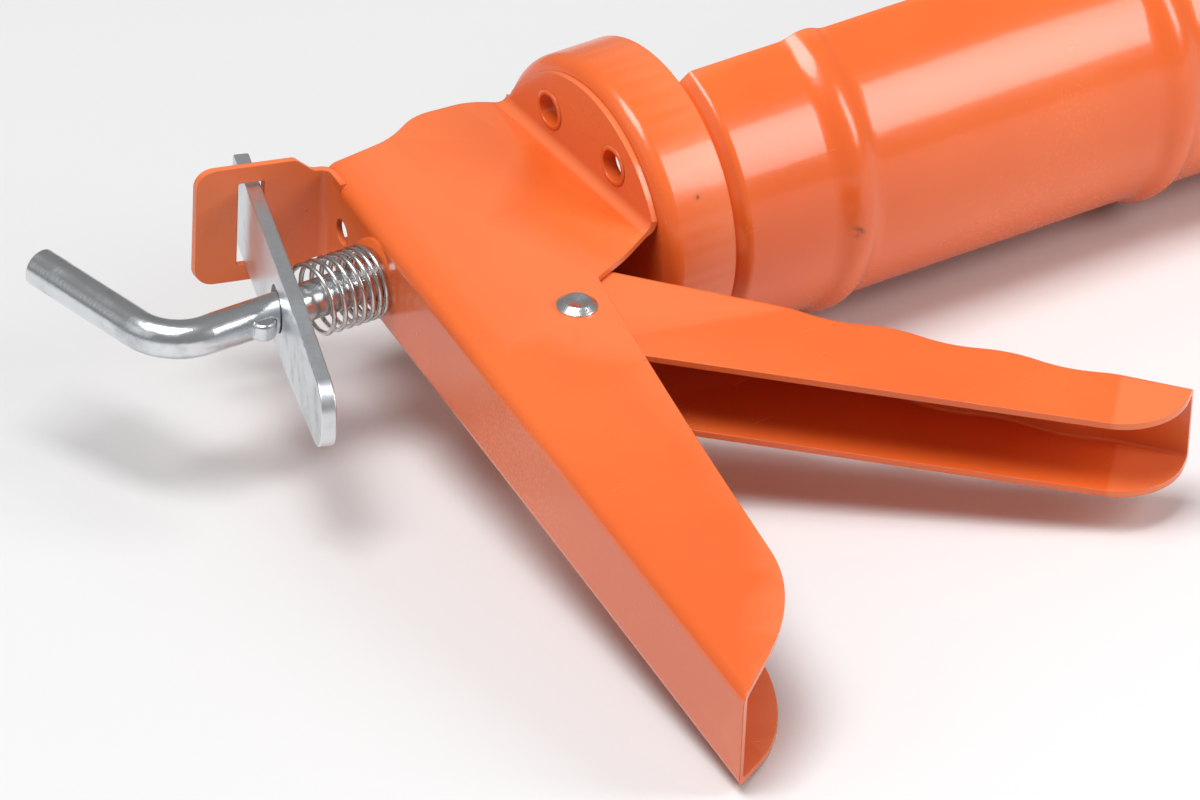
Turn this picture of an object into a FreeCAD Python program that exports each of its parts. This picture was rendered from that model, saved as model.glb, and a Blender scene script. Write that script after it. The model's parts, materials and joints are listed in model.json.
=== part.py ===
import FreeCAD, Part
import math
import os

# Half-barrel caulking gun for 300 to 310 ml cartridges, in millimetres.
#
# Every piece is modelled in the gun's own frame: X runs forward along the push rod, Y is
# up (towards the open side of the barrel), Z points to the gun's right, and the origin is
# on the rod axis, inside the thickness of the handle's spine.  At the end all pieces are
# laid down together, on the gun's left side, with +Z up and the floor at Z = 0.

Vector = FreeCAD.Vector
ORIGIN = Vector(0, 0, 0)
X_AXIS = Vector(1, 0, 0)
Y_AXIS = Vector(0, 1, 0)
Z_AXIS = Vector(0, 0, 1)

# ---- driving dimensions -------------------------------------------------------------

HANDLE_SHEET = 1.2
HANDLE_HALF_WIDTH = 9.2       # outside, at the spine
SPINE_LEAN = 0.142            # the spine moves this far back per millimetre down
SPINE_SETBACK = 0.8           # of the rear face behind the origin, at the rod
SPINE_BEND_RADIUS = 2.2       # outside
SPLAY_START_Y = -40.0         # below this the side plates open outward, slowly at first
SPLAY_END_Y = -156.0
SPLAY_END_SLOPE = 0.367
SPINE_END_Y = -146.0
PLATE_TOP_Y = 22.8
FLANGE_X = 41.1               # rear face of the flange
FLANGE_RADIUS = 25.6
FLANGE_BEND_RADIUS = 1.8

CUP_SHEET = 1.1
CUP_RADIUS = 28.0
CUP_DEPTH = 13.8
CUP_EDGE_RADIUS = 3.0

EYELET_Y = 10.2
EYELET_Z = 15.6
EYELET_SHANK_RADIUS = 3.3
EYELET_BORE_RADIUS = 2.9
EYELET_FLARE_RADIUS = 3.9
EYELET_FLARE_HEIGHT = 0.25

BARREL_SHEET = 1.0
BARREL_RADIUS = 29.3          # outside, between the beads
BARREL_NECK_RADIUS = 26.8     # outside, inside the cup
BARREL_WRAP = 150.0           # degrees of a full circle that the sheet covers
BARREL_END_X = 274.0          # inner face of the nose plate
SHELL_END_GAP = 1.6           # keeps the sheet out of the caps' inner corners
BEAD_HEIGHT = 1.4
BEAD_ARC_RADIUS = 5.4
FIRST_BEAD_X = 82.0
BEAD_PITCH = 70.0
BEAD_COUNT = 3
SHOULDER_ANGLE = 50.0         # slope of the step from the neck to the full radius
SHOULDER_BEND_RADIUS = 1.5

NOSE_SHEET = 1.2
NOSE_RIM_LENGTH = 11.0
NOSE_SLOT_WIDTH = 20.0

PIVOT_X = 17.2
PIVOT_Y = -35.8
RIVET_RADIUS = 2.5
RIVET_HEAD_RADIUS = 3.66
RIVET_HEAD_HEIGHT = 1.3
RIVET_HOLE_CLEARANCE = 0.08

TRIGGER_SHEET = 1.2
TRIGGER_HALF_WIDTH = 7.7
TRIGGER_ANGLE = -49.9         # the web's direction at rest
TRIGGER_WEB_DEPTH = 15.5      # from the pivot to the web's face
TRIGGER_TOP = -6.5            # where the web begins, measured from the pivot
TRIGGER_LENGTH = 106.8        # from the pivot to the web's free end
TRIGGER_BEND_RADIUS = 1.8
FINGER_ARC_RADIUS = 25.3      # gives three hollows of 21 mm
FINGER_DEPTH = 1.1
FINGER_COUNT = 3
FINGER_START = 32.0
TRIGGER_SWING = 40.0          # degrees, from rest to fully squeezed

ROD_RADIUS = 3.5
ROD_CLEARANCE = 0.35
HOOK_CORNER_X = -44.0
HOOK_ANGLE = 79.0
HOOK_BEND_RADIUS = 9.5
HOOK_LEG = 33.5
ROD_STUB_RADIUS = 3.0
STUB_CLEARANCE = 0.05         # radial, so that the rod can turn in the plunger
PLUNGER_PLAY = 0.3            # along the rod, at each end of the plunger
EAR_X = -26.2
EAR_RADIUS = 2.4
EAR_REACH = 5.4

PLUNGER_FACE_X = 264.5
PLUNGER_SHEET = 1.2
PLUNGER_RADIUS = 23.0
PLUNGER_RIM_LENGTH = 7.0
RECESS_RADIUS = 9.5
RECESS_DEPTH = 7.4
BACKING_RADIUS = 17.0
BACKING_SHEET = 2.0
WASHER_RADIUS = 6.0
WASHER_SHEET = 1.2
NUT_ACROSS_FLATS = 10.0
NUT_HEIGHT = 5.0

TAB_LEAN = 16.0               # degrees that the bracket tab rises to the rear
TAB_BEND_RADIUS = 1.6
TAB_BEND_Y = 20.4
TAB_LENGTH = 26.0
TAB_NECK_HALF_WIDTH = 9.2
TAB_HALF_WIDTH = 12.0
TAB_SHOULDER_X = -2.6
TAB_PLATE_LENGTH = 18.1       # rearward of the shoulder
TAB_RELIEF_X = 5.3            # how far forward the spine is cut away above the tab bend
TAB_RELIEF_HALF_WIDTH = 8.0
TAB_SLOT_X = -11.1
TAB_SLOT_WIDTH = 4.6
TAB_SLOT_HALF_LENGTH = 8.7
SPINE_HOLE_Y = 15.1
SPINE_HOLE_RADIUS = 2.4
BOSS_RADIUS = 7.4
BOSS_HEIGHT = 0.7
BOSS_EASING = 1.3             # how far the flat stops short of the rim
BOSS_ROOT = 0.6               # how far the ring reaches into the spine

LOCK_LEAN = 19.8              # degrees
LOCK_SHEET = 2.75
LOCK_HALF_WIDTH = 8.0
LOCK_TIP = 38.0               # above the rod, along the plate
LOCK_THUMB = 36.5             # below the rod, along the plate
LOCK_THUMB_HALF_WIDTH = 6.2
LOCK_TAPER = 8.0              # below the rod, where the plate begins to narrow
LOCK_X = -20.0                # the plate's middle plane where it crosses the rod axis
LOCK_SWING = 11.0             # degrees

LOCK_WIRE_RADIUS = 0.45
LOCK_COIL_RADIUS = 6.45
LOCK_SPRING_COILS = 7.3
LOCK_SPRING_CROWDING = 0.4    # how much tighter than average the front coils are
DRIVE_WIRE_RADIUS = 0.6
DRIVE_COIL_RADIUS = 5.5
DRIVE_SPRING_COILS = 5.5
DRIVE_SPRING_CLOSING = 0.6    # how much tighter than average both end coils are
SPRING_POINTS_PER_COIL = 12
SPRING_END_GAP = 0.1

DRIVE_PLATE_X = 8.3           # rear face at rest
DRIVE_PLATE_SHEET = 2.5
DRIVE_PLATE_HALF_WIDTH = 7.6
DRIVE_PLATE_TOP = 13.0
DRIVE_PLATE_BOTTOM = -11.0
DRIVE_PLATE_SHOULDER = -1.4   # below this it passes between the fork's arms
DRIVE_PLATE_TONGUE = 6.1      # half width there
EAR_LOBE_RADIUS = 3.0

# ---- worked-out sizes ---------------------------------------------------------------

CHANNEL_REACH = 60.0          # long enough to pass every outline
CHANNEL_TOP_Y = 45.0
CHANNEL_LEVELS = 12
FLANGE_FRONT_X = FLANGE_X + HANDLE_SHEET
CUP_FLOOR_X = FLANGE_FRONT_X + CUP_SHEET
CUP_RIM_X = FLANGE_FRONT_X + CUP_DEPTH
FOLD_HALF_WIDTH = HANDLE_HALF_WIDTH + FLANGE_BEND_RADIUS
FOLD_Y = math.sqrt(FLANGE_RADIUS**2 - FOLD_HALF_WIDTH**2)
PIVOT = Vector(PIVOT_X, PIVOT_Y, 0)
PIVOT_ARM = -PIVOT_Y


def spine_x(y):
    """X of the spine's rear face at height y."""
    return SPINE_LEAN * y - SPINE_SETBACK


BOSS_FACE_X = spine_x(0) - 0.2 - BOSS_HEIGHT


# ---- shape helpers ------------------------------------------------------------------


def polar(radius, degrees):
    angle = math.radians(degrees)
    return Vector(radius * math.cos(angle), radius * math.sin(angle), 0)


def rounded_chain(corners, closed):
    """Edges through (x, y, corner radius) triples; an open chain's ends stay plain."""
    points = [Vector(x, y, 0) for x, y, _ in corners]
    count = len(points)
    runs = []
    for i in range(count):
        radius = corners[i][2]
        if radius == 0:
            runs.append((points[i], None, points[i]))
            continue
        before = (points[i - 1] - points[i]).normalize()
        after = (points[(i + 1) % count] - points[i]).normalize()
        half = before.getAngle(after) / 2
        setback = radius / math.tan(half)
        middle = (before + after).normalize() * (radius / math.sin(half) - radius)
        runs.append((points[i] + before * setback, points[i] + middle, points[i] + after * setback))
    edges = []
    for i in range(count):
        start, middle, end = runs[i]
        if middle is not None:
            edges.append(Part.Arc(start, middle, end).toShape())
        following = runs[(i + 1) % count][0]
        if (closed or i < count - 1) and (following - end).Length > 1e-6:
            edges.append(Part.LineSegment(end, following).toShape())
    return edges


def rounded_outline(corners):
    return Part.Wire(rounded_chain(corners, True))


def slab(wire, low, high):
    """Plate between two Z heights with the given outline in XY."""
    face = Part.Face(wire)
    face.translate(Vector(0, 0, low))
    return face.extrude(Vector(0, 0, high - low))


def rod(radius, start, end):
    return Part.makeCylinder(radius, (end - start).Length, start, end - start)


def box(low, high):
    size = high - low
    return Part.makeBox(size.x, size.y, size.z, low)


def mirrored(shape):
    """Copy on the gun's left side."""
    return shape.mirror(ORIGIN, Z_AXIS)


def turned(face, degrees=360.0, start=0.0):
    """Turn a profile drawn in XY about the rod axis."""
    solid = face.revolve(ORIGIN, X_AXIS, degrees)
    solid.rotate(ORIGIN, X_AXIS, start)
    return solid


def fused(shapes):
    return shapes[0].fuse(shapes[1:]).removeSplitter()


def solid_of(shape):
    """The one solid that a boolean operation leaves."""
    assert len(shape.Solids) == 1, len(shape.Solids)
    return shape.Solids[0]


class SheetPath:
    """Section through bent sheet: one face is drawn run by run, the other lies to its right."""

    def __init__(self, x, y, heading, thickness):
        self.point = Vector(x, y, 0)
        self.heading = heading
        self.thickness = thickness
        self.face_edges = []
        self.back_edges = []
        self.ends = [(self.point, self.back_point())]

    def direction(self):
        return polar(1.0, self.heading)

    def right(self):
        return polar(1.0, self.heading - 90)

    def back_point(self):
        return self.point + self.right() * self.thickness

    def forward(self, length):
        start, back_start = self.point, self.back_point()
        self.point = start + self.direction() * length
        self.face_edges.append(Part.LineSegment(start, self.point).toShape())
        self.back_edges.append(Part.LineSegment(back_start, self.back_point()).toShape())
        return self

    def turn(self, degrees, radius):
        """Bend to the left (positive) or right (negative); radius is on the drawn face."""
        side = 1 if degrees > 0 else -1
        centre = self.point - self.right() * (side * radius)
        back_radius = radius + side * self.thickness
        arcs = []
        for size in (radius, back_radius):
            spots = [
                centre + polar(size, self.heading - side * 90 + degrees * part)
                for part in (0, 0.5, 1)
            ]
            arcs.append(Part.Arc(*spots).toShape())
        self.face_edges.append(arcs[0])
        self.back_edges.append(arcs[1])
        self.heading += degrees
        self.point = centre + polar(radius, self.heading - side * 90)
        return self

    def swell(self, height, radius):
        """Bead or hollow of equal arcs: outward to the left (positive), or to the right."""
        side = 1 if height > 0 else -1
        angle = side * math.degrees(math.acos(1 - abs(height) / (2 * radius)))
        return self.turn(angle, radius).turn(-2 * angle, radius).turn(angle, radius)

    def profile(self):
        self.ends.append((self.point, self.back_point()))
        caps = [Part.LineSegment(*end).toShape() for end in self.ends]
        edges = self.face_edges + [caps[1]] + self.back_edges[::-1] + [caps[0]]
        return Part.Face(Part.Wire(Part.__sortEdges__(edges)))


def cone_ring(inner, outer, height, x, flare=0.35):
    """Ring about the X axis whose outer edge is turned with a soft corner."""
    outline = rounded_outline([
        (x, inner, 0),
        (x, outer, height * flare),
        (x + height, outer, height * flare),
        (x + height, inner, 0),
    ])
    return turned(Part.Face(outline))


def spring(wire_radius, coil_radius, coils, start_x, end_x, closing=0.0, crowding=0.0):
    """Round-wire compression spring along the rod.

    Closing tightens the pitch towards both ends, and crowding only towards the front end.
    """
    length = end_x - start_x - 2 * wire_radius
    count = round(coils * SPRING_POINTS_PER_COIL)
    points = []
    for i in range(count + 1):
        part = i / count
        rise = part - closing * math.sin(2 * math.pi * part) / (2 * math.pi)
        rise = length * (rise + crowding * part * (1 - part))
        points.append(polar(coil_radius, 360 * coils * part) + Z_AXIS * rise)
    line = Part.BSplineCurve()
    line.interpolate(points)
    start_direction = line.tangent(line.FirstParameter)[0]
    section = Part.Wire(Part.makeCircle(wire_radius, points[0], start_direction))
    wire = Part.Wire(line.toShape()).makePipeShell([section], True, True)
    wire.rotate(ORIGIN, Y_AXIS, 90)
    wire.translate(X_AXIS * (start_x + wire_radius))
    return wire


# ---- handle -------------------------------------------------------------------------


def handle_outline():
    """Side plate: wide neck behind the cup, straight grip and a rounded lower lobe."""
    return rounded_outline([
        (spine_x(PLATE_TOP_Y), PLATE_TOP_Y, 0),
        (17.0, 24.4, 16.0),
        (24.5, 28.6, 10.0),
        (35.5, 27.6, 12.0),
        (FLANGE_FRONT_X, FOLD_Y, 0),
        (FLANGE_FRONT_X, -FOLD_Y, 0),
        (40.2, -FOLD_Y + 0.3, 1.5),
        (33.0, -26.9, 30.0),
        (25.2, -30.2, 1.6),
        (-0.6, -131.6, 40.0),
        (spine_x(SPINE_END_Y), SPINE_END_Y, 0),
    ])


def channel_section(y, slope, inset):
    """Level section through the channel's outer face, or its inner face when inset."""
    wall = inset * math.sqrt(1 + SPINE_LEAN**2)
    rear_x = spine_x(y) + wall
    rear_z = HANDLE_HALF_WIDTH + wall * slope - inset * math.sqrt(1 + slope**2)
    front_z = rear_z + CHANNEL_REACH * slope
    radius = SPINE_BEND_RADIUS - inset
    section = rounded_outline([
        (rear_x, -rear_z, radius),
        (rear_x, rear_z, radius),
        (rear_x + CHANNEL_REACH, front_z, 0),
        (rear_x + CHANNEL_REACH, -front_z, 0),
    ])
    section.rotate(ORIGIN, X_AXIS, 90)
    section.translate(Vector(0, y, 0))
    return section


def splay_slope(y):
    part = max(0.0, (SPLAY_START_Y - y) / (SPLAY_START_Y - SPLAY_END_Y))
    return SPLAY_END_SLOPE * part**2


def channel_block(inset):
    """Straight-sided above SPLAY_START_Y, opening smoothly outward below it."""
    step = (CHANNEL_TOP_Y - SPLAY_END_Y) / CHANNEL_LEVELS
    levels = [CHANNEL_TOP_Y - i * step for i in range(CHANNEL_LEVELS + 1)]
    return Part.makeLoft([channel_section(y, splay_slope(y), inset) for y in levels], True, False)


def handle_channel():
    outline = slab(handle_outline(), -30, 30)
    channel = channel_block(0).common(outline).cut(channel_block(HANDLE_SHEET))
    beyond_bend = box(
        Vector(FLANGE_X - FLANGE_BEND_RADIUS, -60, -40), Vector(FLANGE_FRONT_X + 5, 60, 40))
    above_tab_bend = box(
        Vector(-5, TAB_BEND_Y, -TAB_RELIEF_HALF_WIDTH), Vector(TAB_RELIEF_X, 40, TAB_RELIEF_HALF_WIDTH))
    return channel.cut([beyond_bend, above_tab_bend])


def handle_flange():
    """Right-hand flange: the side plate turns outward against the cup's rear wall."""
    section_start_x = FLANGE_X - FLANGE_BEND_RADIUS - 3.0
    path = SheetPath(section_start_x, HANDLE_HALF_WIDTH, 0, HANDLE_SHEET)
    path.forward(3.0).turn(90, FLANGE_BEND_RADIUS).forward(20.0)
    strip = path.profile()
    strip.rotate(ORIGIN, X_AXIS, 90)
    strip.translate(Vector(0, 40, 0))
    strip = strip.extrude(Vector(0, -80, 0))
    side_stencil = slab(handle_outline(), 0, FOLD_HALF_WIDTH)
    flange_stencil = rod(FLANGE_RADIUS, Vector(FLANGE_X - 1, 0, 0), Vector(FLANGE_FRONT_X + 1, 0, 0))
    flange_stencil = flange_stencil.common(
        box(Vector(0, -40, FOLD_HALF_WIDTH), Vector(60, 40, 40)))
    return strip.common(side_stencil.fuse(flange_stencil))


def tab_path():
    """The spine's top end, up to where the tab leaves its bend."""
    upright = math.degrees(math.atan2(1, SPINE_LEAN))
    start_y = TAB_BEND_Y - 4.0
    path = SheetPath(spine_x(start_y), start_y, upright, HANDLE_SHEET)
    return path.forward(4.0).turn(180 - TAB_LEAN - upright, TAB_BEND_RADIUS)


def tab_strip():
    """Bracket tab: the spine's top end turns rearward and carries the lock plate's slot."""
    path = tab_path().forward(TAB_LENGTH)
    strip = path.profile()
    strip = strip.extrude(Vector(0, 0, 2 * TAB_HALF_WIDTH))
    strip.translate(Vector(0, 0, -TAB_HALF_WIDTH))
    rear_x = TAB_SHOULDER_X - TAB_PLATE_LENGTH
    stencil = rounded_outline([
        (8.0, -TAB_NECK_HALF_WIDTH, 0),
        (8.0, TAB_NECK_HALF_WIDTH, 0),
        (TAB_SHOULDER_X + 2.6, TAB_NECK_HALF_WIDTH, 2.0),
        (TAB_SHOULDER_X - 0.6, TAB_HALF_WIDTH, 1.5),
        (rear_x, TAB_HALF_WIDTH, 3.4),
        (rear_x, -TAB_HALF_WIDTH, 3.4),
        (TAB_SHOULDER_X - 0.6, -TAB_HALF_WIDTH, 1.5),
        (TAB_SHOULDER_X + 2.6, -TAB_NECK_HALF_WIDTH, 2.0),
    ])
    half_slot = TAB_SLOT_WIDTH / 2
    slot = rounded_outline([
        (TAB_SLOT_X - half_slot, -TAB_SLOT_HALF_LENGTH, 0.4),
        (TAB_SLOT_X + half_slot, -TAB_SLOT_HALF_LENGTH, 0.4),
        (TAB_SLOT_X + half_slot, TAB_SLOT_HALF_LENGTH, 0.4),
        (TAB_SLOT_X - half_slot, TAB_SLOT_HALF_LENGTH, 0.4),
    ])
    shape = slab(stencil, 0, 40).cut(slab(slot, -1, 41))
    shape.rotate(ORIGIN, X_AXIS, -90)
    return strip.common(shape)


def rod_boss():
    """Raised ring that stiffens the spine around the rod hole and seats the lock spring."""
    base_x = BOSS_FACE_X + BOSS_HEIGHT
    ring = rounded_outline([
        (base_x + BOSS_ROOT, ROD_RADIUS, 0),
        (base_x + BOSS_ROOT, BOSS_RADIUS, 0),
        (base_x, BOSS_RADIUS, 0),
        (BOSS_FACE_X, BOSS_RADIUS - BOSS_EASING, 0.5),
        (BOSS_FACE_X, ROD_RADIUS, 0),
    ])
    return turned(Part.Face(ring))


def eyelet_spots():
    for side, z in (("right", EYELET_Z), ("left", -EYELET_Z)):
        for level, y in (("upper", EYELET_Y), ("lower", -EYELET_Y)):
            yield side + "_" + level, Vector(0, y, z)


def handle_frame():
    flange = handle_flange()
    body = fused([handle_channel(), flange, mirrored(flange), tab_strip(), rod_boss()])
    cuts = [
        rod(ROD_RADIUS + ROD_CLEARANCE, Vector(-10, 0, 0), Vector(10, 0, 0)),
        rod(SPINE_HOLE_RADIUS, Vector(-8, SPINE_HOLE_Y, 0), Vector(10, SPINE_HOLE_Y, 0)),
        rod(RIVET_RADIUS, PIVOT - Z_AXIS * 20, PIVOT + Z_AXIS * 20),
    ]
    for _, spot in eyelet_spots():
        cuts.append(rod(EYELET_SHANK_RADIUS, spot + X_AXIS * 35, spot + X_AXIS * 50))
    return solid_of(body.cut(cuts))


# ---- cup, eyelets, barrel and nose cap ------------------------------------------------


def rear_cup():
    path = SheetPath(FLANGE_FRONT_X, ROD_RADIUS + ROD_CLEARANCE, 90, CUP_SHEET)
    path.forward(CUP_RADIUS - CUP_EDGE_RADIUS - ROD_RADIUS - ROD_CLEARANCE)
    path.turn(-90, CUP_EDGE_RADIUS).forward(CUP_DEPTH - CUP_EDGE_RADIUS)
    cup = turned(path.profile())
    holes = [
        rod(EYELET_SHANK_RADIUS, spot + X_AXIS * 35, spot + X_AXIS * 50)
        for _, spot in eyelet_spots()
    ]
    return solid_of(cup.cut(holes))


def eyelet(spot):
    """Hollow rivet, flared on both faces, that joins the flange to the cup."""
    bore, shank, flare = EYELET_BORE_RADIUS, EYELET_SHANK_RADIUS, EYELET_FLARE_RADIUS
    rear, front = FLANGE_X, CUP_FLOOR_X
    outline = rounded_outline([
        (rear - EYELET_FLARE_HEIGHT, bore, 0.1),
        (rear - EYELET_FLARE_HEIGHT, shank + 0.1, 0.1),
        (rear, flare, 0),
        (rear, shank, 0),
        (front, shank, 0),
        (front, flare, 0),
        (front + EYELET_FLARE_HEIGHT, shank + 0.1, 0.1),
        (front + EYELET_FLARE_HEIGHT, bore, 0.1),
    ])
    ring = turned(Part.Face(outline))
    ring.translate(spot)
    return ring


def barrel_shell():
    """Part-round cradle of thin sheet: necked into the cup, with pressed stiffening beads."""
    rise = BARREL_RADIUS - BARREL_NECK_RADIUS
    bend = SHOULDER_BEND_RADIUS
    slope = math.radians(SHOULDER_ANGLE)
    ramp = (rise - 2 * bend * (1 - math.cos(slope))) / math.sin(slope)
    bead_half_span = math.sqrt(BEAD_HEIGHT * (4 * BEAD_ARC_RADIUS - BEAD_HEIGHT))

    start_x = CUP_FLOOR_X + SHELL_END_GAP + 0.6
    path = SheetPath(start_x, BARREL_NECK_RADIUS, 0, BARREL_SHEET)
    shoulder_x = CUP_RIM_X - 0.5
    path.forward(shoulder_x - start_x)
    path.turn(SHOULDER_ANGLE, bend).forward(ramp).turn(-SHOULDER_ANGLE, bend)
    for i in range(BEAD_COUNT):
        bead_x = FIRST_BEAD_X + i * BEAD_PITCH
        path.forward(bead_x - bead_half_span - path.point.x)
        path.swell(BEAD_HEIGHT, BEAD_ARC_RADIUS)
    path.forward(BARREL_END_X - SHELL_END_GAP - path.point.x)
    return solid_of(turned(path.profile(), BARREL_WRAP, 180 - BARREL_WRAP / 2))


def nose_slot_cutter():
    half = NOSE_SLOT_WIDTH / 2
    cutter = rounded_outline([
        (-half, -half, half - 0.01),
        (half, -half, half - 0.01),
        (half, 60, 0),
        (-half, 60, 0),
    ])
    prism = slab(cutter, BARREL_END_X - 2, BARREL_END_X + 8)
    prism.rotate(ORIGIN, Y_AXIS, 90)
    return prism


def nose_cap():
    """Front plate with a slot for the nozzle; its rim clasps the barrel's front end."""
    rim_radius = BARREL_RADIUS + NOSE_SHEET
    corner = 2.6
    path = SheetPath(BARREL_END_X - NOSE_RIM_LENGTH, rim_radius, 0, NOSE_SHEET)
    path.forward(NOSE_RIM_LENGTH + NOSE_SHEET - corner).turn(-90, corner)
    path.forward(rim_radius - corner)
    cap = turned(path.profile())
    rim_top = BARREL_RADIUS * math.cos(math.radians(180 - BARREL_WRAP / 2))
    open_side = box(
        Vector(BARREL_END_X - NOSE_RIM_LENGTH - 1, rim_top, -40), Vector(BARREL_END_X, 40, 40))
    return solid_of(cap.cut([open_side, nose_slot_cutter()]))


# ---- trigger and its pivot ------------------------------------------------------------


def web_path():
    """The web's line, drawn along X from its top: its face, with the finger hollows."""
    path = SheetPath(TRIGGER_TOP, 0, 0, TRIGGER_SHEET).forward(FINGER_START - TRIGGER_TOP)
    for _ in range(FINGER_COUNT):
        path.swell(-FINGER_DEPTH, FINGER_ARC_RADIUS)
    return path.forward(TRIGGER_LENGTH - path.point.x)


def trigger_block(web, tail, half_width, bend_radius):
    """Prism with the wavy web on one side and its two long web edges rounded."""
    block = slab(Part.Wire(web + rounded_chain(tail, False)), -half_width, half_width)
    web_edges = []
    for edge in block.Edges:
        middle = edge.CenterOfMass
        along_web = TRIGGER_TOP < middle.x < TRIGGER_LENGTH and middle.y > -TRIGGER_SHEET - FINGER_DEPTH
        if along_web and edge.BoundBox.ZLength < 1e-6:
            web_edges.append(edge)
    return block.makeFillet(bend_radius, web_edges)


def into_trigger_place(shape):
    """From the web's own line to the gun frame at rest."""
    shape.translate(Vector(0, TRIGGER_WEB_DEPTH, 0))
    shape.rotate(ORIGIN, Z_AXIS, TRIGGER_ANGLE)
    shape.translate(PIVOT)
    return shape


def lobe_centre():
    """Tip of the fork, which pushes the drive plate at the height of the rod."""
    return PIVOT + polar(PIVOT_ARM, 90 + TRIGGER_SWING / 2)


def trigger():
    web = web_path()
    sides = [
        (TRIGGER_LENGTH, 0, 0),
        (TRIGGER_LENGTH + 0.3, -15.0, 12.5),
        (0, -25.2, 9.5),
        (-16.0, -19.0, 6.0),
        (TRIGGER_TOP, 0, 0),
    ]
    outer = trigger_block(web.face_edges, sides, TRIGGER_HALF_WIDTH, TRIGGER_BEND_RADIUS)
    clear_of_sides = [
        (TRIGGER_LENGTH, -TRIGGER_SHEET, 0),
        (TRIGGER_LENGTH + 5, -TRIGGER_SHEET, 0),
        (TRIGGER_LENGTH + 5, -40, 0),
        (TRIGGER_TOP - 15, -40, 0),
        (TRIGGER_TOP - 15, -TRIGGER_SHEET, 0),
        (TRIGGER_TOP, -TRIGGER_SHEET, 0),
    ]
    inner = trigger_block(
        web.back_edges, clear_of_sides,
        TRIGGER_HALF_WIDTH - TRIGGER_SHEET, TRIGGER_BEND_RADIUS - TRIGGER_SHEET)
    channel = into_trigger_place(outer.cut(inner))
    tip = lobe_centre()
    along = (PIVOT - tip).normalize()
    across = Vector(-along.y, along.x, 0)
    arm_points = [
        tip + across * EAR_LOBE_RADIUS,
        tip - across * EAR_LOBE_RADIUS,
        PIVOT - across * 9.5,
        PIVOT + across * 7.0,
    ]
    arm_face = Part.Face(Part.makePolygon(arm_points + arm_points[:1]))
    arms = []
    inner_z = TRIGGER_HALF_WIDTH - TRIGGER_SHEET
    for low in (inner_z, -TRIGGER_HALF_WIDTH):
        arm = arm_face.extrude(Z_AXIS * TRIGGER_SHEET)
        arm.translate(Z_AXIS * low)
        lobe = rod(EAR_LOBE_RADIUS, tip + Z_AXIS * low, tip + Z_AXIS * (low + TRIGGER_SHEET))
        arms.extend([arm, lobe])
    hole_radius = RIVET_RADIUS + RIVET_HOLE_CLEARANCE
    hole = rod(hole_radius, PIVOT - Z_AXIS * 20, PIVOT + Z_AXIS * 20)
    return solid_of(fused([channel] + arms).cut(hole))


def about_pivot(points):
    """Turn an outline, drawn as (z, radius, corner radius), about the pivot axis."""
    solid = Part.Face(rounded_outline(points)).revolve(ORIGIN, X_AXIS, 360)
    solid.rotate(ORIGIN, Y_AXIS, -90)
    solid.translate(PIVOT)
    return solid


def pivot_rivet():
    """Semi-tubular rivet: dished head on the right, rolled end on the left."""
    side = HANDLE_HALF_WIDTH
    head, tail = RIVET_HEAD_RADIUS, RIVET_HEAD_RADIUS - 0.3
    top = side + RIVET_HEAD_HEIGHT
    return about_pivot([
        (-side - 1.1, 1.3, 0.2),
        (-side - 1.1, tail - 0.6, 0.4),
        (-side, tail, 0),
        (-side, RIVET_RADIUS, 0),
        (side, RIVET_RADIUS, 0),
        (side, head, 0),
        (side + 0.35, head, 0),
        (top, head - 1.3, 0.5),
        (top - 0.45, 0, 0),
        (-side + 1.5, 0, 0),
        (-side + 1.5, 1.3, 0.2),
    ])


def pivot_sleeve():
    """Spacer tube that keeps the trigger's sides apart on the rivet."""
    reach = TRIGGER_HALF_WIDTH - TRIGGER_SHEET - 0.3
    return about_pivot([
        (-reach, RIVET_RADIUS, 0),
        (-reach, RIVET_RADIUS + 1.0, 0.2),
        (reach, RIVET_RADIUS + 1.0, 0.2),
        (reach, RIVET_RADIUS, 0),
    ])


# ---- push rod and plunger ---------------------------------------------------------------


def recess_floor_x():
    return PLUNGER_FACE_X - RECESS_DEPTH


def push_rod():
    """Round rod with a bent pull hook, a swaged stop ear below and a reduced front end."""
    shoulder_x = recess_floor_x() - PLUNGER_SHEET - BACKING_SHEET - PLUNGER_PLAY
    stub_end_x = recess_floor_x() + WASHER_SHEET + PLUNGER_PLAY + NUT_HEIGHT + 0.8
    setback = HOOK_BEND_RADIUS * math.tan(math.radians(HOOK_ANGLE / 2))
    bend_x = HOOK_CORNER_X + setback
    straight = rod(ROD_RADIUS, Vector(bend_x, 0, 0), Vector(shoulder_x, 0, 0))
    stub = rod(ROD_STUB_RADIUS, Vector(shoulder_x, 0, 0), Vector(stub_end_x, 0, 0))
    centre = Vector(bend_x, HOOK_BEND_RADIUS, 0)
    section = Part.Face(Part.Wire(Part.makeCircle(ROD_RADIUS, Vector(bend_x, 0, 0), X_AXIS)))
    bend = section.revolve(centre, Z_AXIS, -HOOK_ANGLE)
    leg_start = centre + polar(HOOK_BEND_RADIUS, -90 - HOOK_ANGLE)
    leg_end = leg_start + polar(HOOK_LEG - setback, 180 - HOOK_ANGLE)
    leg = rod(ROD_RADIUS, leg_start, leg_end)
    rim = [edge for edge in leg.Edges if (edge.CenterOfMass - leg_end).Length < 0.1]
    leg = leg.makeChamfer(0.7, rim)
    spot = Vector(EAR_X, EAR_RADIUS - EAR_REACH, 0)
    ear = rod(EAR_RADIUS, spot - Z_AXIS * 1.7, spot + Z_AXIS * 1.7)
    ear = ear.makeFillet(0.8, [edge for edge in ear.Edges if len(edge.Vertexes) == 1])
    return solid_of(fused([straight, stub, bend, leg, ear]))


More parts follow.
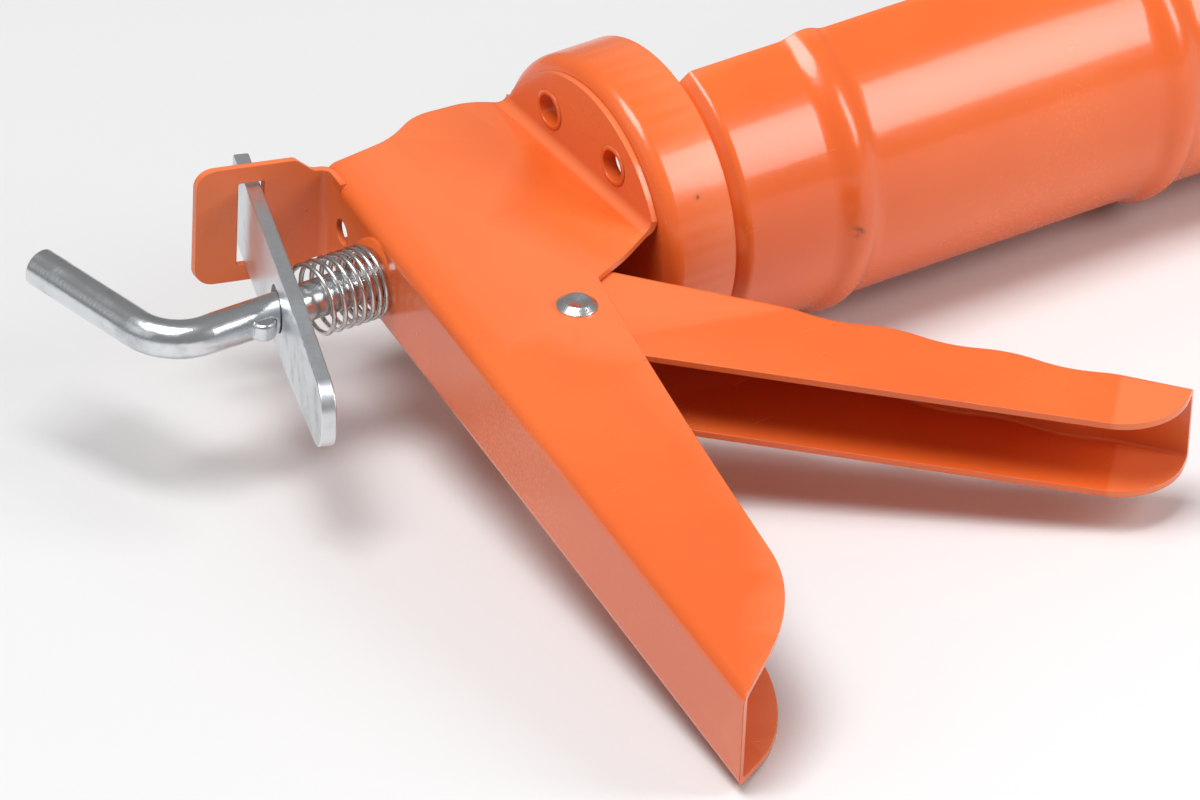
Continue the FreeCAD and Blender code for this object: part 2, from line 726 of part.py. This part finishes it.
def plunger_disc():
    """Pressed piston: flat face, turned-back rim and a recess that sinks the nut."""
    floor = recess_floor_x()
    bore = ROD_STUB_RADIUS + STUB_CLEARANCE
    rear_bend = 1.6
    front_bend = 0.8
    path = SheetPath(floor - PLUNGER_SHEET, bore, 90, PLUNGER_SHEET)
    path.forward(RECESS_RADIUS + PLUNGER_SHEET - bore - rear_bend).turn(-90, rear_bend)
    path.forward(RECESS_DEPTH - rear_bend - front_bend).turn(90, front_bend)
    edge_round = 3.0
    path.forward(PLUNGER_RADIUS - edge_round - path.point.y)
    path.turn(90, edge_round - PLUNGER_SHEET)
    path.forward(PLUNGER_RIM_LENGTH - edge_round)
    return solid_of(turned(path.profile()))


def plunger_backing():
    floor = recess_floor_x() - PLUNGER_SHEET
    return cone_ring(
        ROD_STUB_RADIUS + STUB_CLEARANCE, BACKING_RADIUS, BACKING_SHEET, floor - BACKING_SHEET, 0.25)


def plunger_washer():
    return cone_ring(
        ROD_STUB_RADIUS + STUB_CLEARANCE, WASHER_RADIUS, WASHER_SHEET, recess_floor_x(), 0.2)


def plunger_nut():
    circumradius = NUT_ACROSS_FLATS / math.sqrt(3)
    points = [polar(circumradius, 60 * i) for i in range(7)]
    hexagon = Part.Face(Part.makePolygon(points)).extrude(Z_AXIS * NUT_HEIGHT)
    chamfer_cone = Part.makeCone(
        circumradius + NUT_HEIGHT, circumradius - 0.5, NUT_HEIGHT + 0.5)
    nut = hexagon.common(chamfer_cone)
    nut = nut.cut(rod(ROD_STUB_RADIUS, Z_AXIS * -1, Z_AXIS * 20))
    nut.rotate(ORIGIN, Y_AXIS, 90)
    nut.translate(X_AXIS * (recess_floor_x() + WASHER_SHEET + PLUNGER_PLAY))
    return solid_of(nut)


# ---- lock plate, drive plate and springs --------------------------------------------------


def lock_plate():
    """Thumb release: hangs in the bracket's slot, and grips the rod by tilting."""
    half, thumb = LOCK_HALF_WIDTH, LOCK_THUMB_HALF_WIDTH
    outline = rounded_outline([
        (LOCK_TIP, -half, 1.2),
        (LOCK_TIP, half, 1.2),
        (-LOCK_TAPER, half, 30.0),
        (-LOCK_THUMB, thumb, thumb - 0.8),
        (-LOCK_THUMB, -thumb, thumb - 0.8),
        (-LOCK_TAPER, -half, 30.0),
    ])
    plate = slab(outline, -LOCK_SHEET / 2, LOCK_SHEET / 2)
    faces = [edge for edge in plate.Edges if edge.BoundBox.ZLength < 1e-6]
    plate = plate.makeFillet(0.3, faces)
    plate.rotate(ORIGIN, X_AXIS, 90)
    plate.rotate(ORIGIN, Z_AXIS, 90 - LOCK_LEAN)
    plate.translate(X_AXIS * LOCK_X)
    bore = ROD_RADIUS + ROD_CLEARANCE
    openings = [rod(bore, Vector(-30, 0, 0), Vector(-10, 0, 0))]
    for swing in (LOCK_SWING / 2, LOCK_SWING):
        opening = rod(bore, Vector(-40, 0, 0), Vector(0, 0, 0))
        opening.rotate(lock_hinge(), Z_AXIS, -swing)
        openings.append(opening)
    return solid_of(plate.cut(openings))


def lock_hinge():
    """Point in the bracket's slot about which the lock plate tips."""
    tab = tab_path()
    start = tab.point + tab.right() * (HANDLE_SHEET / 2)
    along = tab.direction()
    slope = math.tan(math.radians(LOCK_LEAN))
    reach = (LOCK_X + slope * start.y - start.x) / (along.x - slope * along.y)
    return start + along * reach


def lock_spring():
    lean = math.radians(LOCK_LEAN)
    lock_front_x = LOCK_X + LOCK_SHEET / 2 / math.cos(lean)
    lean_gap = (LOCK_COIL_RADIUS + LOCK_WIRE_RADIUS) * math.tan(lean)
    return spring(
        LOCK_WIRE_RADIUS, LOCK_COIL_RADIUS, LOCK_SPRING_COILS,
        lock_front_x + lean_gap, BOSS_FACE_X - SPRING_END_GAP,
        crowding=LOCK_SPRING_CROWDING)


def drive_plate():
    """Plate inside the handle that grips the rod and is pushed forward by the trigger."""
    half, tongue = DRIVE_PLATE_HALF_WIDTH, DRIVE_PLATE_TONGUE
    outline = rounded_outline([
        (DRIVE_PLATE_BOTTOM, -tongue, 1.5),
        (DRIVE_PLATE_SHOULDER, -tongue, 0.3),
        (DRIVE_PLATE_SHOULDER, -half, 0.4),
        (DRIVE_PLATE_TOP, -half, 2.0),
        (DRIVE_PLATE_TOP, half, 2.0),
        (DRIVE_PLATE_SHOULDER, half, 0.4),
        (DRIVE_PLATE_SHOULDER, tongue, 0.3),
        (DRIVE_PLATE_BOTTOM, tongue, 1.5),
    ])
    plate = slab(outline, 0, DRIVE_PLATE_SHEET)
    plate.rotate(ORIGIN, Z_AXIS, 90)
    plate.rotate(ORIGIN, Y_AXIS, 90)
    plate.translate(X_AXIS * DRIVE_PLATE_X)
    bore = rod(ROD_RADIUS + 0.08, Vector(0, 0, 0), Vector(30, 0, 0))
    return solid_of(plate.cut(bore))


def drive_spring():
    return spring(
        DRIVE_WIRE_RADIUS, DRIVE_COIL_RADIUS, DRIVE_SPRING_COILS,
        DRIVE_PLATE_X + DRIVE_PLATE_SHEET, FLANGE_FRONT_X,
        closing=DRIVE_SPRING_CLOSING)


# ---- assembly -----------------------------------------------------------------------------


def all_parts():
    parts = {
        "handle_frame": handle_frame(),
        "rear_cup": rear_cup(),
        "barrel_shell": barrel_shell(),
        "nose_cap": nose_cap(),
        "trigger": trigger(),
        "pivot_rivet": pivot_rivet(),
        "pivot_sleeve": pivot_sleeve(),
        "push_rod": push_rod(),
        "plunger_disc": plunger_disc(),
        "plunger_backing": plunger_backing(),
        "plunger_washer": plunger_washer(),
        "plunger_nut": plunger_nut(),
        "lock_plate": lock_plate(),
        "lock_spring": lock_spring(),
        "drive_plate": drive_plate(),
        "drive_spring": drive_spring(),
    }
    for name, spot in eyelet_spots():
        parts["eyelet_" + name] = eyelet(spot)
    return parts


def resting_roll(handle):
    """Roll that lets the nose cap and the handle's lower left edge share the floor."""
    cap_radius = BARREL_RADIUS + NOSE_SHEET
    rolls = []
    for point in handle.tessellate(0.05)[0]:
        reach = math.hypot(point.y, point.z)
        if point.z < 0 and reach > 2 * cap_radius:
            rolls.append(math.asin(cap_radius / reach) - math.atan2(-point.z, -point.y))
    return math.degrees(min(rolls))


def main():
    os.makedirs("parts", exist_ok=True)
    parts = all_parts()
    roll = resting_roll(parts["handle_frame"])
    extent = FreeCAD.BoundBox()
    for shape in parts.values():
        shape.rotate(ORIGIN, X_AXIS, roll)
        extent.add(shape.optimalBoundingBox(False, False))
    shift = Vector(-extent.Center.x, -extent.Center.y, -extent.ZMin)
    for name, shape in parts.items():
        shape.translate(shift)
        assert shape.isValid(), name
        shape.exportStep(os.path.join("parts", name + ".step"))
    print("roll", round(roll, 4), "shift", [round(v, 4) for v in shift])
    print("size", [round(v, 2) for v in (extent.XLength, extent.YLength, extent.ZLength)])


main()
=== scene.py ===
import bpy
import json
import math
from mathutils import Matrix, Vector


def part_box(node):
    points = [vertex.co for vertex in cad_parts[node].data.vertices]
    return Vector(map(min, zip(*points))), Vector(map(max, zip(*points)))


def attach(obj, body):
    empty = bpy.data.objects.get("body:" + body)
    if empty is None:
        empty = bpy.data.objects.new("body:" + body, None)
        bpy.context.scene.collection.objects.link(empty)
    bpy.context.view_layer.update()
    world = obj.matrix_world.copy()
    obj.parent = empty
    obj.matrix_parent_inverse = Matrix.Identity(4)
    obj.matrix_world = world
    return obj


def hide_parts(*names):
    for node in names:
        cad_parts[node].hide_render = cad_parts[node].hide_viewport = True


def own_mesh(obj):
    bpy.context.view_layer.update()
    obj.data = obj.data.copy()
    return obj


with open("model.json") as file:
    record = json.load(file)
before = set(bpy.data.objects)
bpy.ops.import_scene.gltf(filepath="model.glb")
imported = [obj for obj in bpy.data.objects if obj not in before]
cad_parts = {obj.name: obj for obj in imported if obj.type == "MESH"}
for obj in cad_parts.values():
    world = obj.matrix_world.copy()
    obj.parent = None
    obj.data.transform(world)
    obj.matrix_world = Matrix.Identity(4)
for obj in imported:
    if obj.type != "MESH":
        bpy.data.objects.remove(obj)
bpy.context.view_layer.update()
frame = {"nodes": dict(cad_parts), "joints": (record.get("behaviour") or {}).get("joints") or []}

# Looks of a half-barrel caulking gun that lies on its left side: glossy orange enamel on
# pressed sheet, bright zinc on the rod and its plates, and drawn spring wire.
#
# "Gun place" below means X forward along the push rod, Y up towards the open side of the
# barrel and Z to the gun's right, from a point on the rod axis just inside the spine.

MM = 0.001

joints = {joint["name"]: joint for joint in frame["joints"]}


# ---- places in the gun's own frame ---------------------------------------------------

ROD_TURN_AHEAD = 0.1          # the rod's turning joint is stated this far ahead of the origin


def gun_to_world():
    """The trigger's hinge axis gives the roll, and a point on the rod gives the place."""
    across = -Vector(joints["trigger_pivot"]["axis"]).normalized()
    forward = Vector((1, 0, 0))
    upward = across.cross(forward)
    turn = Matrix((forward, upward, across)).transposed().to_4x4()
    start = Vector(joints["rod_turn"]["pos_m"]) - forward * ROD_TURN_AHEAD
    return Matrix.Translation(start) @ turn


GUN = gun_to_world()


def gun_place(x, y, z):
    """World point of a gun place in millimetres."""
    return GUN @ (Vector((x, y, z)) * MM)


# ---- shader helpers ------------------------------------------------------------------


class Varying:
    """A number that changes over a surface, with Python's own arithmetic."""

    def __init__(self, finish, socket):
        self.finish = finish
        self.socket = socket

    def maths(self, operation, first, second):
        node = self.finish.node("ShaderNodeMath", {"operation": operation}, {0: first, 1: second})
        return Varying(self.finish, node.outputs[0])

    def __add__(self, other):
        return self.maths("ADD", self, other)

    def __radd__(self, other):
        return self.maths("ADD", other, self)

    def __sub__(self, other):
        return self.maths("SUBTRACT", self, other)

    def __rsub__(self, other):
        return self.maths("SUBTRACT", other, self)

    def __mul__(self, other):
        return self.maths("MULTIPLY", self, other)

    def __rmul__(self, other):
        return self.maths("MULTIPLY", other, self)


class Finish:
    """One material, built node by node."""

    def __init__(self, name):
        self.material = bpy.data.materials.new(name)
        self.material.use_nodes = True
        self.tree = self.material.node_tree
        self.tree.nodes.clear()
        coordinates = self.node("ShaderNodeTexCoord")
        self.place = Varying(self, coordinates.outputs["Object"])

    def node(self, kind, settings=None, sockets=None):
        """A node of any type: its settings are made first, then its values and links."""
        made = self.tree.nodes.new(kind)
        for name, value in (settings or {}).items():
            setattr(made, name, value)
        for name, value in (sockets or {}).items():
            if isinstance(value, Varying):
                self.tree.links.new(value.socket, made.inputs[name])
            else:
                made.inputs[name].default_value = value
        return made

    def stretched(self, factors):
        """The surface's place, scaled differently along X, Y and Z."""
        node = self.node(
            "ShaderNodeVectorMath", {"operation": "MULTIPLY"}, {0: self.place, 1: factors})
        return Varying(self, node.outputs["Vector"])

    def noise(self, size, detail=3.0, roughness=0.5, place=None):
        """Cloudy noise from 0 to 1 whose features are about size metres across."""
        sockets = {
            "Vector": place or self.place,
            "Scale": 1 / size,
            "Detail": detail,
            "Roughness": roughness,
        }
        return Varying(self, self.node("ShaderNodeTexNoise", None, sockets).outputs[0])

    def specks(self, spacing, size):
        """Sparse round dots, 1 inside and 0 outside."""
        cells = self.node(
            "ShaderNodeTexVoronoi", {"feature": "F1"}, {"Vector": self.place, "Scale": 1 / spacing})
        return self.between(Varying(self, cells.outputs["Distance"]), size / spacing, 0.0)

    def between(self, value, low, high):
        """Smooth step from 0 at low to 1 at high."""
        node = self.node(
            "ShaderNodeMapRange", {"interpolation_type": "SMOOTHSTEP"},
            {"Value": value, "From Min": low, "From Max": high})
        return Varying(self, node.outputs[0])

    def near(self, point, inner, outer):
        """1 within inner metres of a point, falling to 0 at outer."""
        node = self.node(
            "ShaderNodeVectorMath", {"operation": "DISTANCE"}, {0: self.place, 1: tuple(point)})
        return self.between(Varying(self, node.outputs["Value"]), outer, inner)

    def edges(self, low, high):
        """Outer edges and corners of the sheet."""
        geometry = self.node("ShaderNodeNewGeometry")
        return self.between(Varying(self, geometry.outputs["Pointiness"]), low, high)

    def tinted(self, amount, first, second):
        node = self.node(
            "ShaderNodeMix", {"data_type": "RGBA"}, {0: amount, 6: first, 7: second})
        return Varying(self, node.outputs[2])

    def relief(self, height, depth, softening):
        """Surface normal from a height, on edges that are eased by the softening radius."""
        eased = self.node("ShaderNodeBevel", {"samples": 6}, {"Radius": softening})
        node = self.node(
            "ShaderNodeBump", None,
            {"Height": height, "Distance": depth, "Strength": 1.0,
             "Normal": Varying(self, eased.outputs[0])})
        return Varying(self, node.outputs[0])

    def shade(self, sockets):
        surface = self.node("ShaderNodeBsdfPrincipled", None, sockets)
        output = self.node("ShaderNodeOutputMaterial")
        self.tree.links.new(surface.outputs[0], output.inputs[0])
        return self.material


# ---- finishes ------------------------------------------------------------------------

ENAMEL = (0.80, 0.148, 0.030, 1)
ENAMEL_DEEP = (0.74, 0.122, 0.022, 1)
ENAMEL_THIN = (0.86, 0.23, 0.09, 1)
DIRT = (0.10, 0.035, 0.018, 1)
ZINC = (0.74, 0.765, 0.79, 1)
ZINC_DULL = (0.50, 0.53, 0.55, 1)
WIRE = (0.62, 0.615, 0.60, 1)
WIRE_DARK = (0.30, 0.29, 0.28, 1)
PEEL_DEPTH = 0.00004
ENAMEL_SOFTENING = 0.00035    # radius that edges are eased by


def orange_enamel(name, marks=()):
    """Glossy sprayed enamel: slight orange peel, dust specks, thin edges, a few rubs."""
    finish = Finish(name)
    clouds = finish.noise(0.045, 3.0)
    peel = finish.noise(0.0022, 2.0)
    grain = finish.noise(0.0006, 2.0)
    specks = finish.specks(0.009, 0.00022) * finish.between(finish.noise(0.02, 1.0), 0.52, 0.62)
    thin = finish.edges(0.53, 0.60)
    streaks = finish.noise(0.0018, 4.0, 0.6, finish.stretched((0.12, 1.0, 1.0)))
    rubs = finish.between(streaks, 0.66, 0.74) * finish.between(finish.noise(0.03, 2.0), 0.50, 0.66)
    soiling = specks * 0.75
    for point, inner, outer in marks:
        ragged = finish.between(finish.noise(0.0012, 4.0, 0.7), 0.40, 0.62)
        soiling = soiling + finish.near(point, inner, outer) * ragged * 0.8
    color = finish.tinted(finish.between(clouds, 0.30, 0.75), ENAMEL_DEEP, ENAMEL)
    color = finish.tinted(thin * 0.45, color, ENAMEL_THIN)
    color = finish.tinted(rubs * 0.18, color, ENAMEL_THIN)
    color = finish.tinted(soiling, color, DIRT)
    return finish.shade({
        "Base Color": color,
        "Roughness": 0.20 + 0.07 * clouds + 0.05 * grain + 0.18 * rubs + 0.25 * soiling,
        "Coat Weight": 0.25 - 0.15 * rubs,
        "Coat Roughness": 0.06,
        "IOR": 1.45,
        "Normal": finish.relief(peel + 0.12 * grain + 1.5 * specks, PEEL_DEPTH, ENAMEL_SOFTENING),
    })


def bright_zinc(name, draw=(1.0, 1.0, 1.0), scratch_size=0.0005, roughness=0.20):
    """Passivated zinc on steel, with marks drawn along one direction and dull patches."""
    finish = Finish(name)
    patches = finish.noise(0.006, 4.0, 0.6)
    lines = finish.noise(scratch_size, 4.0, 0.6, finish.stretched(draw))
    pits = finish.specks(0.0021, 0.00012)
    worn = finish.edges(0.52, 0.58)
    color = finish.tinted(finish.between(patches, 0.42, 0.78), ZINC, ZINC_DULL)
    color = finish.tinted(worn * 0.5, color, ZINC)
    color = finish.tinted(pits * 0.5, color, ZINC_DULL)
    return finish.shade({
        "Base Color": color,
        "Metallic": 1.0,
        "Roughness": roughness + 0.14 * finish.between(patches, 0.4, 0.8) + 0.10 * lines,
        "Normal": finish.relief(lines + 0.6 * patches - 0.8 * pits, 0.000025, 0.00025),
    })


def spring_wire(name):
    """Drawn wire with a light grey film."""
    finish = Finish(name)
    film = finish.noise(0.0018, 3.0)
    drawn = finish.noise(0.0002, 3.0)
    color = finish.tinted(finish.between(film, 0.5, 0.8), WIRE, WIRE_DARK)
    return finish.shade({
        "Base Color": color,
        "Metallic": 1.0,
        "Roughness": 0.20 + 0.12 * film,
        "Normal": finish.relief(drawn, 0.00001, 0.0001),
    })


def pale_board(name):
    """Smooth painted board that the gun lies on."""
    finish = Finish(name)
    mottle = finish.noise(0.12, 3.0)
    grain = finish.noise(0.0009, 3.0)
    specks = finish.specks(0.045, 0.0003)
    color = finish.tinted(mottle, (0.705, 0.705, 0.71, 1), (0.73, 0.73, 0.73, 1))
    color = finish.tinted(specks * 0.4, color, (0.35, 0.33, 0.33, 1))
    return finish.shade({
        "Base Color": color,
        "Roughness": 0.55 + 0.1 * grain,
        "Normal": finish.relief(grain, 0.00003, 0.0001),
    })


# ---- springs -------------------------------------------------------------------------

LOCK_WIRE_RADIUS = 0.45
LOCK_COIL_RADIUS = 6.45
LOCK_COILS = 7.3
LOCK_CROWDING = 0.4
DRIVE_WIRE_RADIUS = 0.6
DRIVE_COIL_RADIUS = 5.5
DRIVE_COILS = 5.5
DRIVE_CLOSING = 0.6
WIRE_SIDES = 14
STEPS_PER_COIL = 40


def coil_spring(name, node, wire_radius, coil_radius, coils, closing=0.0, crowding=0.0):
    """Round-wire spring as long as its node.

    Closing tightens the pitch towards both ends, and crowding only towards the front end.
    """
    low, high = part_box(node)
    start = low[0] / MM - gun_place(0, 0, 0).x / MM + wire_radius
    length = (high[0] - low[0]) / MM - 2 * wire_radius
    count = round(coils * STEPS_PER_COIL)
    rings = []
    for i in range(count + 1):
        part = i / count
        rise = part - closing * math.sin(2 * math.pi * part) / (2 * math.pi)
        rise = start + length * (rise + crowding * part * (1 - part))
        angle = 2 * math.pi * coils * part
        outward = Vector((0, math.sin(angle), -math.cos(angle)))
        rings.append((Vector((rise, 0, 0)) + outward * coil_radius, outward))
    vertices = []
    faces = []
    for i, (middle, outward) in enumerate(rings):
        for side in range(WIRE_SIDES):
            turn = 2 * math.pi * side / WIRE_SIDES
            offset = outward * math.cos(turn) + Vector((1, 0, 0)) * math.sin(turn)
            point = middle + offset * wire_radius
            vertices.append(gun_place(*point))
        if i:
            base = (i - 1) * WIRE_SIDES
            for side in range(WIRE_SIDES):
                following = (side + 1) % WIRE_SIDES
                faces.append((
                    base + side, base + following,
                    base + WIRE_SIDES + following, base + WIRE_SIDES + side))
    faces.append(tuple(range(WIRE_SIDES)))
    faces.append(tuple(reversed(range(count * WIRE_SIDES, (count + 1) * WIRE_SIDES))))
    mesh = bpy.data.meshes.new(name)
    mesh.from_pydata(vertices, [], faces)
    mesh.validate()
    mesh.shade_smooth()
    piece = bpy.data.objects.new(name, mesh)
    bpy.context.collection.objects.link(piece)
    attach(piece, "frame")
    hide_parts(node)
    return piece


# ---- dressing the gun ----------------------------------------------------------------


def dress(nodes, material):
    for node in nodes:
        slots = frame["nodes"][node].data.materials
        slots.clear()
        slots.append(material)


def dress_gun():
    bead_rub = (gun_place(80.9, -29.6, 0.2), 0.0006, 0.0022)
    cup_rub = (gun_place(50.0, -24.0, 14.0), 0.0002, 0.0010)
    dress(["handle_frame"], orange_enamel("handle_enamel"))
    dress(["rear_cup"], orange_enamel("cup_enamel", marks=[cup_rub]))
    dress(["barrel_shell"], orange_enamel("barrel_enamel", marks=[bead_rub]))
    dress(["nose_cap"], orange_enamel("nose_enamel"))
    dress(["trigger"], orange_enamel("trigger_enamel"))
    eyelets = [name for name in frame["nodes"] if name.startswith("eyelet")]
    dress(eyelets, orange_enamel("eyelet_enamel"))
    dress(["push_rod"], bright_zinc("rod_zinc", draw=(0.05, 1.0, 1.0), roughness=0.14))
    plate_zinc = bright_zinc("plate_zinc", scratch_size=0.0009, roughness=0.30)
    dress(["lock_plate", "drive_plate"], plate_zinc)
    dress(["pivot_rivet", "pivot_sleeve"], bright_zinc("rivet_zinc", roughness=0.18))
    dress(["plunger_disc", "plunger_backing"], bright_zinc("plunger_zinc", roughness=0.24))
    dress(["plunger_washer", "plunger_nut"], bright_zinc("fastener_zinc", roughness=0.20))


def fit_springs():
    wire = spring_wire("spring_wire")
    lock = coil_spring(
        "lock_spring_wire", "lock_spring", LOCK_WIRE_RADIUS, LOCK_COIL_RADIUS, LOCK_COILS,
        crowding=LOCK_CROWDING)
    drive = coil_spring(
        "drive_spring_wire", "drive_spring", DRIVE_WIRE_RADIUS, DRIVE_COIL_RADIUS, DRIVE_COILS,
        closing=DRIVE_CLOSING)
    for spring in (lock, drive):
        spring.data.materials.append(wire)
    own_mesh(lock)
    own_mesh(drive)


# ---- stage ---------------------------------------------------------------------------


FLOOR_SIZE = 12
LAMP_TARGET = Vector((-0.05, 0, 0.03))
SKY_STRENGTH = 0.26


def lay_floor():
    bpy.ops.mesh.primitive_plane_add(size=FLOOR_SIZE, location=(0, 0, 0))
    floor = bpy.context.object
    floor.name = "floor"
    floor.data.materials.append(pale_board("pale_board"))


def add_softbox(name, azimuth, elevation, distance, size, power):
    """Rectangular lamp aimed at the gun's middle, from azimuth degrees round from +X."""
    around, rise = math.radians(azimuth), math.radians(elevation)
    outward = Vector((
        math.cos(around) * math.cos(rise), math.sin(around) * math.cos(rise), math.sin(rise)))
    lamp = bpy.data.lights.new(name, "AREA")
    lamp.shape = "RECTANGLE"
    lamp.size, lamp.size_y = size
    lamp.energy = power
    holder = bpy.data.objects.new(name, lamp)
    holder.location = LAMP_TARGET + outward * distance
    holder.rotation_euler = outward.to_track_quat("Z", "Y").to_euler()
    bpy.context.collection.objects.link(holder)


def light_studio():
    add_softbox("side_softbox", azimuth=-50, elevation=30, distance=0.75, size=(0.24, 0.40), power=2.6)
    add_softbox("overhead_softbox", azimuth=200, elevation=74, distance=1.9, size=(1.0, 1.0), power=36)
    add_softbox("left_fill", azimuth=175, elevation=30, distance=1.8, size=(1.2, 1.0), power=2)
    world = bpy.data.worlds.new("studio")
    world.use_nodes = True
    background = world.node_tree.nodes["Background"]
    background.inputs["Color"].default_value = (1.0, 1.0, 1.0, 1)
    background.inputs["Strength"].default_value = SKY_STRENGTH
    bpy.context.scene.world = world


# The camera's line of sight, in the gun's own frame.
VIEW_AZIMUTH = -34.786
VIEW_ELEVATION = 34.952
VIEW_ROLL = 2.770
VIEW_DISTANCE = 2103.3
VIEW_CENTRE_RIGHT = 38.336
VIEW_CENTRE_UP = -21.643
LENS = 360
SENSOR = 36


def place_camera():
    around, rise, roll = (math.radians(v) for v in (VIEW_AZIMUTH, VIEW_ELEVATION, VIEW_ROLL))
    level = Vector((math.cos(around), math.sin(around), 0))
    back = Vector((
        math.sin(around) * math.cos(rise), -math.cos(around) * math.cos(rise), math.sin(rise)))
    top = back.cross(level)
    right = level * math.cos(roll) + top * math.sin(roll)
    upward = top * math.cos(roll) - level * math.sin(roll)
    spot = back * VIEW_DISTANCE + right * VIEW_CENTRE_RIGHT + upward * VIEW_CENTRE_UP
    data = bpy.data.cameras.new("camera")
    data.lens = LENS
    data.sensor_width = SENSOR
    data.clip_end = 50
    camera = bpy.data.objects.new("camera", data)
    pose = Matrix((right, upward, back)).transposed().to_4x4()
    camera.matrix_world = GUN @ Matrix.Translation(spot * MM) @ pose
    bpy.context.collection.objects.link(camera)
    bpy.context.scene.camera = camera


dress_gun()
fit_springs()
lay_floor()
light_studio()
place_camera()
bpy.context.scene.view_settings.view_transform = "Standard"
